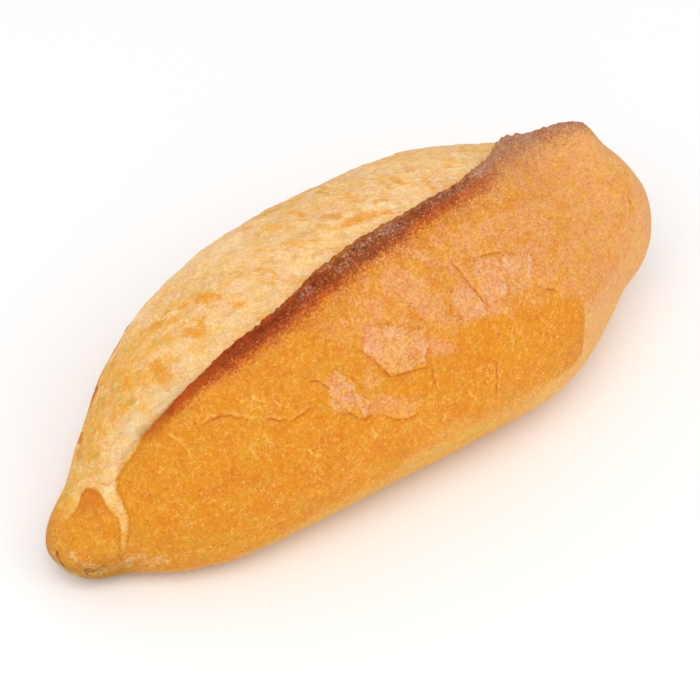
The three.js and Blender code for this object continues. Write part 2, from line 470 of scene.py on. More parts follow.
def strokes(lines: Sequence[Places], spots: np.ndarray) -> tuple[np.ndarray, np.ndarray]:
    """The fields of some lines.

    Args:
        lines: open chains on the chart.
        spots: places on the chart.

    Returns:
        The signed distance to the nearest line, at most 9 millimetres, and how strongly it shows.
    """
    offset, show = np.full(spots.shape[:-1], 9.0), np.zeros(spots.shape[:-1])
    for line in lines:
        apart, way = Chain(line).measure(spots)
        nearer = np.abs(apart) < np.abs(offset)
        offset = np.where(nearer, apart, offset)
        show = np.where(nearer, ease(way, 0, 0.18) * (1 - ease(way, 0.7, 1)), show)
    return offset, show


# Places are millimetres along the roll, then millimetres below the ear's crest.
FLAKES = (
    (
        (-11, 17), (-9, 15.5), (-5.5, 17.5), (1, 23.5), (0, 26),
        (-1.5, 28), (-6, 27.5), (-9.5, 25.5), (-12, 18.5),
    ),
    (
        (-21.5, 17), (-19, 17.5), (-17.5, 20), (-17, 24), (-15, 27.5), (-17, 29),
        (-18.5, 26), (-23, 24), (-23, 21.5), (-22, 20),
    ),
    ((18, 16), (21, 16.5), (24, 18.5), (23, 22), (21.5, 25.5), (17.5, 26), (16.5, 22), (17, 18.5)),
    ((26, 18.5), (31, 21.5), (28, 26.5), (26.5, 27.5), (24, 25.5), (23.5, 20.5)),
    ((10, 19), (14.5, 19.5), (16, 22.5), (15, 27), (12.5, 27), (9, 24), (9, 21)),
)
WORN = (
    (
        (-15, 26), (-11.5, 28), (-7, 33), (-4, 36), (-6, 36.5), (-9, 36.5), (-11.5, 34),
        (-14, 30.5), (-16, 29.5), (-17.5, 27),
    ),
    ((-15, 21.5), (-12.5, 21.5), (-11, 24.5), (-12.5, 26), (-16, 25)),
    ((16.5, 23.5), (20, 24.5), (22.5, 28.5), (20, 30.5), (16, 27)),
    ((2.5, 14.5), (7, 17), (2, 20.5), (0.5, 17)),
    ((1, 24.5), (5, 28), (5.5, 30.5), (0.5, 29)),
)
CRACKS = (
    ((-15, 14.5), (-12.5, 17.5), (-11, 21.5), (-9.5, 26), (-7, 27.5), (-3, 29), (-0.5, 30.5), (4, 30.5)),
    ((0, 30), (-1, 32), (-0.5, 38)),
    ((14.5, 36), (13, 38), (12.5, 43), (12, 48)),
    ((-46, 7), (-43, 8), (-41, 9), (-38, 13), (-36, 15)),
    ((-36, 15), (-34, 16.5), (-32.5, 18), (-31, 19.5), (-29.5, 19.5), (-26.5, 20), (-24.5, 20.5)),
    ((-25, 15), (-23, 16.5), (-22, 18.5), (-21.5, 20)),
    ((-22.5, 24.5), (-20, 26), (-17.5, 30), (-15.5, 29.5), (-14, 30.5)),
    ((-14, 31), (-11.5, 34.5), (-8.5, 37), (-5, 38)),
    ((14.5, 13), (15, 18), (15.5, 23), (16.5, 27)),
    ((20, 16), (26.5, 18)),
    ((29.5, 28.5), (33, 31)),
    ((63, 21), (63.5, 23.5)),
)
DENT = ((70, -2), (67.5, 3), (65.5, 7), (64.5, 10), (64, 14), (63.5, 19))
SCARS = (
    ((-50, 2), (-48.5, 7), (-49, 12)),
    ((-36.5, 17.5), (-36, 21)),
    ((-34.5, 10), (-35, 11.5)),
    ((-32, 13.5), (-31.5, 16)),
    ((-22.5, 8.5), (-24, 12.5)),
    ((-30.5, 25.5), (-29.5, 28.5), (-27.5, 30)),
    ((-40, 17), (-39, 21.5)),
    ((0, 42.5), (0, 45)),
    ((5.5, 39.5), (8.5, 45.5)),
    ((21, 38), (21.5, 39.5)),
    ((22, 49.5), (22.5, 52)),
    ((-16.5, 32), (-16, 36)),
    ((62.5, 11.5), (63, 18.5)),
)
# Places in space, round the knob.
CREASES = (
    ((-74.5, 1, 11), (-74.5, -1, 8), (-73.5, -2, 7.5)),
    ((-71.5, -4.5, 6.5), (-70.5, -5, 8.5)),
    ((-65.5, -7.5, 11), (-65, -8, 9.5), (-66, -7, 7)),
    ((-64, -6.5, 16), (-65, -7.5, 11.5)),
    ((-72, -4.5, 7), (-71.5, -4.5, 8), (-70.5, -5, 8.5), (-69.5, -5.5, 8.5)),
    ((-71, -5, 7), (-70, -5.5, 7.5), (-69, -6, 7.5)),
)
DUST = (
    ((-73.5, -2, 11.5), (-73, -2.5, 12)),
    ((-71.5, -4.5, 9), (-70.5, -5, 9), (-69.5, -5.5, 9)),
    ((-69.5, -6, 7.5), (-68, -6.5, 7.5), (-67, -7, 7.5), (-65.5, -7.5, 8.5)),
    ((-64.5, -8.5, 9), (-63, -9.5, 10.5), (-61.5, -11, 11)),
    ((-61, -11.5, 7.5), (-60, -12.5, 9), (-58.5, -14, 9.5)),
    ((-73, -2, 12), (-73, -3, 11)),
    ((-72.5, -4, 10), (-71, -5, 10), (-70, -5.5, 9)),
    ((-72, -4, 7), (-70.5, -5, 6.5), (-68, -6.5, 7)),
    ((-75, 2, 10), (-74.5, -0.5, 7.5), (-73, -3, 6)),
    ((-64.5, -8.5, 7.5), (-63.5, -9, 8.5)),
    ((-62.5, -10, 8), (-61.5, -11, 9), (-59.5, -13, 10.5)),
)
# Places are millimetres along the roll, then millimetres across the crumb from the ear.
BRIGHT_LICKS = (
    ((4, 7.5), (8, 7.2), (10.5, 6.5)),
    ((3, 12.5), (4.5, 10.5)),
    ((-42.5, 10), (-43, 7), (-44, 4)),
    ((-35, 10.5), (-34.5, 8.5)),
    ((-28.5, 15), (-27, 13)),
)
LICKS = (
    ((-33, 18), (-30, 15), (-26.5, 12.5)),
    ((-38.5, 20), (-35, 15.5)),
    ((-47, 13.5), (-48, 10.5)),
    ((-44, 24), (-46.5, 19.5)),
    ((-51.5, 15), (-52.5, 12)),
    ((-32, 12), (-32.5, 8.5)),
    ((-26, 8.5), (-24, 7)),
    ((13.5, 9), (15.5, 8.5)),
    ((10, 14.5), (11.5, 13.5)),
    ((-1, 19.5), (0, 16.5)),
    ((-17, 11), (-15.5, 10), (-15, 8)),
    ((19.5, 15.5), (18.5, 11.5), (19, 10)),
    ((21, 12.5), (22, 10.5)),
    ((26.5, 7.5), (26, 5)),
    ((26.5, 15), (26.5, 12)),
    ((11, 27), (10.5, 22.5)),
    ((8.5, 22.5), (8.5, 20)),
    ((-9, 26.5), (-9, 24)),
    ((39.5, 9.5), (41.5, 8.5)),
    ((-53, 9), (-53, 8)),
    ((11.5, 6), (13.5, 5)),
)
GREEN_SPOTS = (
    ((-59.5, 7.5), (-59.5, 6.5)),
    ((-52, 1), (-51, 1)),
    ((-50, 8), (-49.5, 7)),
    ((-6.5, 5.5), (-6, 5.5)),
    ((-9.5, 8), (-9, 8)),
)


@dataclass(frozen=True)
class Neck:
    """Where the crust has stretched and torn between the loaf and the knob.

    The outline's places are millimetres along the roll, then degrees, of which each one stands for
    some millimetres there.
    """

    depth: float = 0.55
    per_degree: float = 0.17
    outline: Places = (
        (-50, 176), (-52, 178), (-55, 175), (-58, 175), (-60, 173), (-61, 167), (-61.5, 156),
        (-62, 141), (-62.5, 132), (-63.5, 122), (-64.5, 109), (-65.5, 98), (-65, 112), (-64.5, 122),
        (-64, 132), (-63.5, 143), (-64, 160), (-63.5, 172), (-63.5, 181), (-64.5, 190), (-65.5, 191),
        (-66.5, 188), (-67.5, 184), (-70, 185), (-71.5, 191), (-72.5, 201), (-73, 220), (-73, 242),
        (-70, 262), (-50, 262),
    )

    def inside(self, x: np.ndarray, degrees: np.ndarray) -> np.ndarray:
        """How far inside the stretched skin a place is, in millimetres."""
        scale = np.array([1.0, self.per_degree])
        spots = charted(x, degrees) * scale
        places = tuple((along, degree * self.per_degree) for along, degree in self.outline)
        return Chain(places, closed=True).measure(spots)[0].clip(-9)


# Degrees, millimetres outwards and millimetres onwards, for some columns side by side.
Strip = tuple[np.ndarray, np.ndarray, np.ndarray]


@dataclass
class Lips:
    """The score's two lips, one value a row: the ear in front, and the rim behind the crumb."""

    crest: np.ndarray
    nose: np.ndarray
    lean: np.ndarray
    gullet: np.ndarray
    bed_depth: np.ndarray
    far: np.ndarray
    height: np.ndarray
    flap: np.ndarray


@dataclass(frozen=True)
class CrustShell:
    """The crust: the whole roll's skin, with the ear, the rim and a bed for the crumb."""

    form: RollForm
    neck: Neck = Neck()
    rows: int = 560
    front: int = 98
    edge: int = 12
    under: int = 5
    bed: int = 10
    rim: int = 10
    back: int = 42
    bed_depth: float = 1.6
    rim_height: float = 0.5
    rim_past: float = 11.0
    rim_from: float = -52.0
    rim_chip: float = -49.8
    chip_width: float = 1.4
    rim_flap: float = 0.5
    rim_waves: float = 0.6
    swell: float = 0.12
    ear_thickness: float = 0.9
    ragged_at: float = 2.0
    toasted_at: float = 1.5
    flake_rise: float = 0.07
    scar_rise: float = 0.08
    crack_depth: float = 0.10
    dent_depth: float = 1.1
    crease_depth: float = 0.45
    band: Places = (
        (-75, 60), (-35, 75), (-12, 83), (-3, 89), (5, 91), (14, 88), (25, 88), (35, 87), (37.5, 92),
        (39, 112), (44, 110), (50, 107), (57, 104), (61, 106), (64, 120), (65, 135), (67, 155), (75, 170),
    )

    def chips(self, rows: Sections) -> np.ndarray:
        """The ragged edge's height, in millimetres off the ear's mean crest."""
        slow = 0.34 * grain(rows.line, 7.5, 2, 3.0)
        fine = 0.38 * grain(rows.line, 1.3, 3, 9.0)
        return (slow + fine)[:, None] * rows.standing(self.ragged_at)

    def swelling(self, rows: Sections, degrees: np.ndarray) -> np.ndarray:
        """The slow uneven swelling of the crust, which fades towards the base."""
        wave = np.sin(0.16 * rows.x + 0.05 * degrees) + np.sin(0.27 * rows.x - 0.08 * degrees)
        return self.swell * rows.relief * wave * ease(np.minimum(degrees, 360 - degrees), 40, 75)

    def lips(self, rows: Sections, chips: np.ndarray) -> Lips:
        """The ear's and the rim's measures.

        Args:
            rows: the cross sections.
            chips: the ragged edge's height over the ear's mean crest, one for each row.

        Returns:
            What the strips of columns share.
        """
        form = self.form
        crest = rows.ear + chips
        nose = np.minimum(self.ear_thickness, 0.45 * rows.ear)
        opens, closes = ease(rows.at, -0.86, -0.72), 1 - ease(rows.at, 0.72, 0.87)
        wide = ease(rows.span, 12, 40)
        ragged = (1.6 * grain(rows.line, 6.0, 3, 31.0))[:, None]
        chipped = ridge(rows.x - self.rim_chip, self.chip_width)
        height = self.rim_height * wide * rows.relief * ease(rows.x, self.rim_from, self.rim_from + 6)
        waves = self.rim_waves * grain(rows.line, 3.5, 2, 77.0)[:, None] * ease(rows.x, -44, -26)
        return Lips(
            crest=crest,
            nose=nose,
            lean=np.maximum(form.ear_lean * crest * rows.opening - nose, 0),
            gullet=form.past_tear(rows, 5, 3.2),
            bed_depth=form.groove_depth * rows.opening + self.bed_depth * opens * closes,
            far=rows.tear + rows.span + (self.rim_past + ragged - 13.0 * chipped) * wide,
            height=height + waves * wide * rows.relief,
            flap=self.rim_flap * chipped,
        )

    def front_strip(self, rows: Sections, chips: np.ndarray) -> Strip:
        """The front, from the middle of the base up to the ear's crest."""
        share = np.arange(self.front)[None, :] / self.front
        degrees = rows.tear * np.interp(share, (0, 0.10, 0.66, 1), (0, 0.20, 0.85, 1))
        lift = ease(degrees, rows.tear - self.form.ear_rise, rows.tear) ** 1.2
        tip = ease(degrees, rows.tear - 5, rows.tear)
        rise = rows.ear * lift + chips * tip + self.swelling(rows, degrees) * (1 - lift)
        return degrees, rise, 0.0 * degrees

    def ear_strip(self, rows: Sections, lips: Lips) -> Strip:
        """The ear's ragged edge, rounded over."""
        turn = np.radians(np.linspace(90, -80, self.edge))[None, :]
        step = np.linspace(0, 1, self.edge)[None, :]
        degrees = self.form.past_tear(rows, 2.7, 0.9) * step + rows.tear * (1 - step)
        rise = lips.crest - lips.nose + lips.nose * np.sin(turn)
        sway = (0.45 * grain(rows.line, 1.4, 2, 57.0))[:, None] * rows.standing(self.ragged_at)
        return degrees, rise, lips.lean + lips.nose * np.cos(turn) + sway * step

    def groove_strip(self, rows: Sections, lips: Lips) -> Strip:
        """The ear's underside, down into the groove."""
        step = (np.arange(self.under)[None, :] + 1) / self.under
        degrees = blend(self.form.past_tear(rows, 3.2, 1.2), lips.gullet, step)
        rise = blend(lips.crest - 2 * lips.nose, -lips.bed_depth, ease(step, 0, 1))
        return degrees, rise, blend(0.7 * lips.lean, 0.0, step)

    def bed_strip(self, lips: Lips) -> Strip:
        """The bed under the crumb."""
        step = (np.arange(self.bed)[None, :] + 1) / (self.bed + 1)
        degrees = blend(lips.gullet, lips.far - 0.5, step)
        return degrees, -lips.bed_depth * (1 - 0.3 * step), 0.0 * degrees

    def rim_strip(self, lips: Lips) -> Strip:
        """The rim behind the crumb, from the bed up and over."""
        step = np.linspace(0, 1, self.rim)[None, :]
        degrees = blend(lips.far - 0.5, lips.far + 4, step**1.5)
        wall = np.interp(step, (0, 0.25, 0.45, 1), (0, 0.75, 1, 1))
        rise = blend(-lips.bed_depth * 0.7, lips.height + lips.flap, wall)
        return degrees, rise - lips.height * ease(step, 0.5, 1) * 0.3, 0.0 * degrees

    def back_strip(self, rows: Sections, lips: Lips) -> Strip:
        """The back, from the rim down to the middle of the base."""
        step = (np.arange(self.back)[None, :] + 1) / (self.back + 1)
        degrees = blend(lips.far + 4, 360, step)
        rise = lips.height * 0.7 * (1 - ease(step, 0, 0.45)) + self.swelling(rows, degrees)
        return degrees, rise + lips.flap * (1 - ease(step, 0, 0.12)), 0.0 * degrees

    def columns(self, rows: Sections, chips: np.ndarray) -> Strip:
        """Every column, from the base up the front, over the crumb's bed and down the back.

        Args:
            rows: the cross sections.
            chips: the ragged edge's height over the ear's mean crest, one for each row.

        Returns:
            Degrees, millimetres outwards and millimetres onwards.
        """
        lips = self.lips(rows, chips)
        strips = (
            self.front_strip(rows, chips),
            self.ear_strip(rows, lips),
            self.groove_strip(rows, lips),
            self.bed_strip(lips),
            self.rim_strip(lips),
            self.back_strip(rows, lips),
        )
        degrees, rise, shift = (np.concatenate(strip, axis=1) for strip in zip(*strips))
        even = 360 * np.arange(degrees.shape[1])[None, :] / degrees.shape[1]
        return blend(even, degrees, rows.relief), rise, shift * rows.relief

    def relief(
        self, rows: Sections, degrees: np.ndarray, points: np.ndarray, toast: np.ndarray
    ) -> np.ndarray:
        """The crust's lumps and blisters.

        Args:
            rows: the cross sections.
            degrees: the points' angles.
            points: where the noise is read.
            toast: how toasted a place is, from 0 to 1.

        Returns:
            Millimetres outwards.
        """
        lumps = 0.20 * grain(points, 12.0, 2, 5.0) + 0.07 * grain(points, 3.0, 2, 11.0)
        crumbly = 0.17 * grain(points, 0.9, 2, 23.0) * toast
        show = ease(np.minimum(degrees, 360 - degrees), 12, 40)
        return (lumps * show + crumbly) * rows.relief

    def build(self) -> bpy.types.Object:
        """Makes the crust."""
        form = self.form
        rows = form.sections(row_shares(self.rows, -1, 1, 0.55))
        smooth = form.surface(rows, *self.columns(rows, 0 * rows.x))
        arc = run_along(smooth)
        crest = self.front + self.edge // 4
        rim = self.front + self.edge + self.under + self.bed + 3
        below = arc[:, crest : crest + 1] - arc

        degrees, rise, shift = self.columns(rows, self.chips(rows))
        toast = (1 - ease(np.abs(below), 0.5, 5.0)) * rows.standing(self.toasted_at)
        spots = charted(rows.x, below)
        flake, worn = outlines(FLAKES, spots), outlines(WORN, spots)
        crack, crack_show = strokes(CRACKS, spots)
        scar, scar_show = strokes(SCARS, spots)
        crease, dust = (np.abs(strokes(lines, smooth)[0]) for lines in (CREASES, DUST))
        dent, dent_show = strokes((DENT,), spots)
        neck = self.neck.inside(rows.x, degrees)
        marks = self.flake_rise * ease(flake, -0.3, 0.5) + self.scar_rise * scar_show * ridge(scar, 0.6)
        marks = marks - self.crack_depth * crack_show * ridge(crack, 0.4)
        marks = marks - self.dent_depth * dent_show * ridge(dent, 1.8)
        marks = marks - self.crease_depth * ridge(crease, 0.5)
        marks = marks - self.neck.depth * ease(neck, -0.2, 0.8) * (1 - ease(degrees, 168, 182))
        rise = rise + self.relief(rows, degrees, smooth, toast) + marks
        points = form.surface(rows, degrees, rise, shift)
        edge = np.interp(rows.x, *zip(*self.band))
        fields = {
            "below_crest": below,
            "ear": np.broadcast_to(rows.ear / form.ear_height, below.shape),
            "degrees": degrees,
            "flake": flake,
            "worn": worn,
            "crack": crack,
            "crack_show": crack_show,
            "scar": scar,
            "scar_show": scar_show,
            "crease": crease,
            "dust": dust,
            "neck": neck,
            "side_band": (edge - degrees) * 0.5,
            "past_rim": arc - arc[:, rim : rim + 1],
        }
        tips = tuple(
            np.array([end * form.length / 2, station.wander - form.side_middle, tip.tip])
            for end, station, tip in ((-1, form.loaf[0], form.knob), (1, form.loaf[-1], form.blunt))
        )
        return Wrap(points, tips, fields).build("crust")


@dataclass(frozen=True)
class TornCrumb:
    """The torn crumb that swells out of the score behind the ear."""

    form: RollForm
    rows: int = 520
    top: int = 152
    bottom: int = 22
    start: float = -0.885
    end: float = 0.86
    past: float = 12.5
    thickness: float = 2.6
    strand_turn: float = -40.0

    def wrinkles(self, points: np.ndarray, across: np.ndarray) -> np.ndarray:
        """Torn strands and folds that run slantwise over the crumb, in millimetres outwards."""
        turn = math.radians(self.strand_turn)
        x = points[..., 0]
        sway = 1.2 * grain(points, 10.0, 2, 41.0)
        strand = x * math.cos(turn) + across * math.sin(turn)
        beside = across * math.cos(turn) - x * math.sin(turn) + sway
        fine = np.stack([strand / 3.0, beside, 0 * x], axis=-1)
        ridges = 0.5 - np.abs(grain(fine, 1.5, 2, 3.0))
        folds = grain(fine, 4.6, 3, 8.0)
        terraces = 0.5 - np.abs(grain(points, 5.2, 2, 15.0))
        lumps = grain(points, 1.1, 2, 71.0)
        return 0.16 * ridges + 0.34 * folds + 0.26 * terraces + 0.09 * lumps

    def build(self) -> bpy.types.Object:
        """Makes the crumb."""
        form = self.form
        rows = form.sections(row_shares(self.rows, self.start, self.end, 0.35))
        share = np.linspace(0, 1, self.top)[None, :]
        gullet = form.past_tear(rows, 4.2, 2.6)
        far = rows.tear + rows.span + self.past * ease(rows.span, 12, 40)
        degrees = blend(gullet, far, share)
        groove = form.groove_depth * rows.opening
        dip = groove * (1 - share) ** 1.6 * np.exp(-1.2 * share)
        flat = form.surface(rows, degrees, -dip, 0 * degrees)
        across = run_along(flat)
        breadth = across[:, -1:]
        middle = ease(across, 0.0, 2.0) * (1 - ease(across, breadth - 2.5, breadth - 0.2))
        ends = ease(rows.at, self.start, self.start + 0.09)
        ends = ends * (1 - ease(rows.at, self.end - 0.20, self.end))
        flush = ease(rows.x, -61, -50)
        slope = 1.6 + 6.0 * (1 - flush)
        sink = (0.2 + 0.9 * flush) * (1 - ease(across, 0.0, 1.2))
        sink = sink + 0.9 * ease(across, breadth - slope, breadth)
        rise = self.wrinkles(flat, across) * (0.25 + 0.75 * middle) * ends * (0.4 + 0.6 * flush)
        rise = rise + 0.35 * grain(flat, 5.0, 2, 63.0) * ease(across, breadth - 16, breadth - 6) * flush
        rise = rise - dip - sink - 0.7 * (1 - ends)
        top = form.surface(rows, degrees, rise, 0 * degrees)

        share = 1 - (np.arange(self.bottom)[None, :] + 0.5) / self.bottom
        low = blend(gullet, far, share)
        depth = self.thickness * np.sin(math.pi * share) ** 0.5 * np.clip(breadth / 8, 0.05, 1)
        columns = np.broadcast_to(np.rint(share * (self.top - 1)).astype(int), low.shape)
        base = np.take_along_axis(rise, columns, 1)
        bottom = form.surface(rows, low, base - 0.15 - depth * ends, 0 * low)

        points = np.concatenate([top, bottom], axis=1)
        chart = charted(rows.x, across)
        padding = np.zeros((len(points), self.bottom))
        fields = {
            "from_ear": np.concatenate([across, padding], axis=1),
            "to_rim": np.concatenate([breadth - across, padding], axis=1),
            "raised": np.concatenate([rise + dip, padding], axis=1),
        }
        for label, lines in (("lick", LICKS), ("bright", BRIGHT_LICKS), ("green", GREEN_SPOTS)):
            fields[label] = np.concatenate([np.abs(strokes(lines, chart)[0]), padding + 9], axis=1)
        tips = (points[0].mean(axis=0), points[-1].mean(axis=0))
        return Wrap(points, tips, fields).build("crumb")


# ---------------------------------------------------------------- shader maths


class Wire:
    """A socket of a node tree that arithmetic can be written with."""

    def __init__(self, board: "Board", socket: bpy.types.NodeSocket) -> None:
        """Wraps a socket of the board's tree."""
        self.board = board
        self.socket = socket

    def __add__(self, other: "Wire | float") -> "Wire":
        """The sum."""
        return self.board.maths("ADD", self, other)

    __radd__ = __add__

    def __mul__(self, other: "Wire | float") -> "Wire":
        """The product."""
        return self.board.maths("MULTIPLY", self, other)

    __rmul__ = __mul__

    def __sub__(self, other: "Wire | float") -> "Wire":
        """The difference."""
        return self.board.maths("SUBTRACT", self, other)

    def __rsub__(self, other: float) -> "Wire":
        """The difference from a number."""
        return self.board.maths("SUBTRACT", other, self)

    def __truediv__(self, other: "Wire | float") -> "Wire":
        """The quotient."""
        return self.board.maths("DIVIDE", self, other)

    def __abs__(self) -> "Wire":
        """The size without its sign."""
        return self.board.maths("ABSOLUTE", self)

    def step(self, low: float, high: float) -> "Wire":
        """A smooth step from 0 at low to 1 at high, or from 1 to 0 where high is the lower."""
        if low > high:
            return 1 - self.step(high, low)
        sockets = {0: self, 1: low, 2: high, 3: 0.0, 4: 1.0}
        return self.board.wire("ShaderNodeMapRange", {"interpolation_type": "SMOOTHSTEP"}, sockets)

    def sway(self, amount: "Wire | float") -> "Wire":
        """Noise around 0.5 as a push to either side, by up to half the amount."""
        return (self - 0.5) * amount

    def threads(self, edge: float, core: float) -> "Wire":
        """Wandering lines where noise crosses 0.5, from 0 at their edge to 1 at their core."""
        return abs(self - 0.5).step(edge, core)


class Board:
    """A material's node tree, with short ways to add to it."""

    def __init__(self, name: str) -> None:
        """Starts a material with a bare Principled shader."""
        self.material = bpy.data.materials.new(name)
        self.material.use_nodes = True
        self.tree = self.material.node_tree
        self.tree.nodes.clear()
        self.shader = self.node("ShaderNodeBsdfPrincipled")
        output = self.node("ShaderNodeOutputMaterial")
        self.tree.links.new(self.shader.outputs[0], output.inputs[0])
        self.place = self.wire("ShaderNodeTexCoord", output="Object")

    def feed(self, node: bpy.types.Node, key: int | str, value: object) -> None:
        """Sets a node's input to a value, or links a wire to it."""
        if isinstance(value, Wire):
            self.tree.links.new(value.socket, node.inputs[key])
        else:
            node.inputs[key].default_value = value

    def node(
        self,
        kind: str,
        settings: Mapping[str, object] | None = None,
        sockets: Mapping[int | str, object] | None = None,
    ) -> bpy.types.Node:
        """Adds a node.

        Args:
            kind: the node's type name.
            settings: its properties, set before the sockets.
            sockets: values or wires for its inputs, by name or place.

        Returns:
            The new node.
        """
        node = self.tree.nodes.new(kind)
        for name, value in (settings or {}).items():
            setattr(node, name, value)
        for key, value in (sockets or {}).items():
            self.feed(node, key, value)
        return node

    def wire(
        self,
        kind: str,
        settings: Mapping[str, object] | None = None,
        sockets: Mapping[int | str, object] | None = None,
        output: int | str = 0,
    ) -> Wire:
        """One output of a new node, which is made as node makes it."""
        return Wire(self, self.node(kind, settings, sockets).outputs[output])

    def maths(self, operation: str, *values: "Wire | float") -> Wire:
        """A Math node's result."""
        return self.wire("ShaderNodeMath", {"operation": operation}, dict(enumerate(values)))

    def vectors(self, operation: str, sockets: Mapping[int | str, object]) -> Wire:
        """A Vector Math node's result."""
        return self.wire("ShaderNodeVectorMath", {"operation": operation}, sockets)

    def field(self, name: str) -> Wire:
        """One of the piece's own vertex attributes."""
        settings = {"attribute_type": "GEOMETRY", "attribute_name": name}
        return self.wire("ShaderNodeAttribute", settings, output="Fac")

    def read(self, size: float, place: Wire | None) -> dict[int | str, object]:
        """A texture's place, or the object's own coordinates, and its scale for a size in millimetres."""
        return {"Vector": place or self.place, "Scale": 1 / (size * MM)}

    def combed(self, turn: float, longer: float, place: Wire | None = None) -> Wire:
        """The place, so that patterns run in strands: turned in degrees from x, and that much longer."""
        sockets = {"Rotation": (0.0, 0.0, math.radians(turn)), "Scale": (longer, 1.0, 1.0)}
        sockets = {"Vector": place or self.place, **sockets}
        return self.wire("ShaderNodeMapping", {"vector_type": "TEXTURE"}, sockets)

    def cloud(
        self, size: float, detail: float = 2.0, rough: float = 0.5, place: Wire | None = None
    ) -> Wire:
        """Noise around 0.5 whose lumps are that many millimetres across."""
        sockets = {**self.read(size, place), "Detail": detail, "Roughness": rough}
        return self.wire("ShaderNodeTexNoise", None, sockets)

    def grains(self, size: float, place: Wire | None = None) -> tuple[Wire, Wire]:
        """Scattered grains.

        Args:
            size: how many millimetres apart they are.
            place: where the pattern is read, or the object's own coordinates.

        Returns:
            The distance to the nearest grain as a share of that, and a random share of its own.
        """
        node = self.node("ShaderNodeTexVoronoi", {"feature": "F1"}, self.read(size, place))
        return Wire(self, node.outputs["Distance"]), Wire(self, node.outputs["Color"])

    def warped(self, size: float, amount: float) -> Wire:
        """The place, pushed about by noise whose lumps are size across, by amount, in millimetres."""
        sockets = {**self.read(size, None), "Detail": 1.0}
        push = self.wire("ShaderNodeTexNoise", None, sockets, "Color")
        return self.vectors("MULTIPLY_ADD", {0: push, 1: (amount * MM * 2,) * 3, 2: self.place})

    def axis(self, index: int) -> Wire:
        """One coordinate of the place, in millimetres."""
        return self.wire("ShaderNodeSeparateXYZ", None, {0: self.place}, index) / MM

    def paint(self, under: "Wire | Shade", over: "Wire | Shade", amount: "Wire | float") -> Wire:
        """One colour laid over another."""
        return self.wire("ShaderNodeMix", {"data_type": "RGBA"}, {0: amount, 6: under, 7: over}, 2)

    def shade(self, under: Wire, amount: Wire) -> Wire:
        """A colour made lighter or darker by a factor."""
        return self.vectors("SCALE", {0: under, "Scale": amount})

    def tinted(self, under: Wire, *amounts: "Wire | float") -> Wire:
        """A colour with its red, green and blue each made stronger or weaker by a factor."""
        factors = self.wire("ShaderNodeCombineXYZ", None, dict(enumerate(amounts)))
        return self.vectors("MULTIPLY", {0: under, 1: factors})

    def bump(self, height: Wire, depth: float, strength: float = 0.85) -> Wire:
        """A bumped normal from a height of 0 to 1 that stands for that many millimetres."""
        sockets = {"Height": height, "Distance": depth * MM, "Strength": strength}
        return self.wire("ShaderNodeBump", None, sockets)

    def finish(
        self, colour: "Wire | Shade", rough: "Wire | float", gloss: float, **others: Wire
    ) -> bpy.types.Material:
        """Sets what the shader shows.

        Args:
            colour: the base colour.
            rough: the roughness.
            gloss: the specular level.
            others: wires for other sockets, by name.

        Returns:
            The finished material.
        """
        looks = {"Base Color": colour, "Roughness": rough, "Specular IOR Level": gloss, **others}
        for name, value in looks.items():
            self.feed(self.shader, name, value)
        return self.material


# ---------------------------------------------------------------- finishes


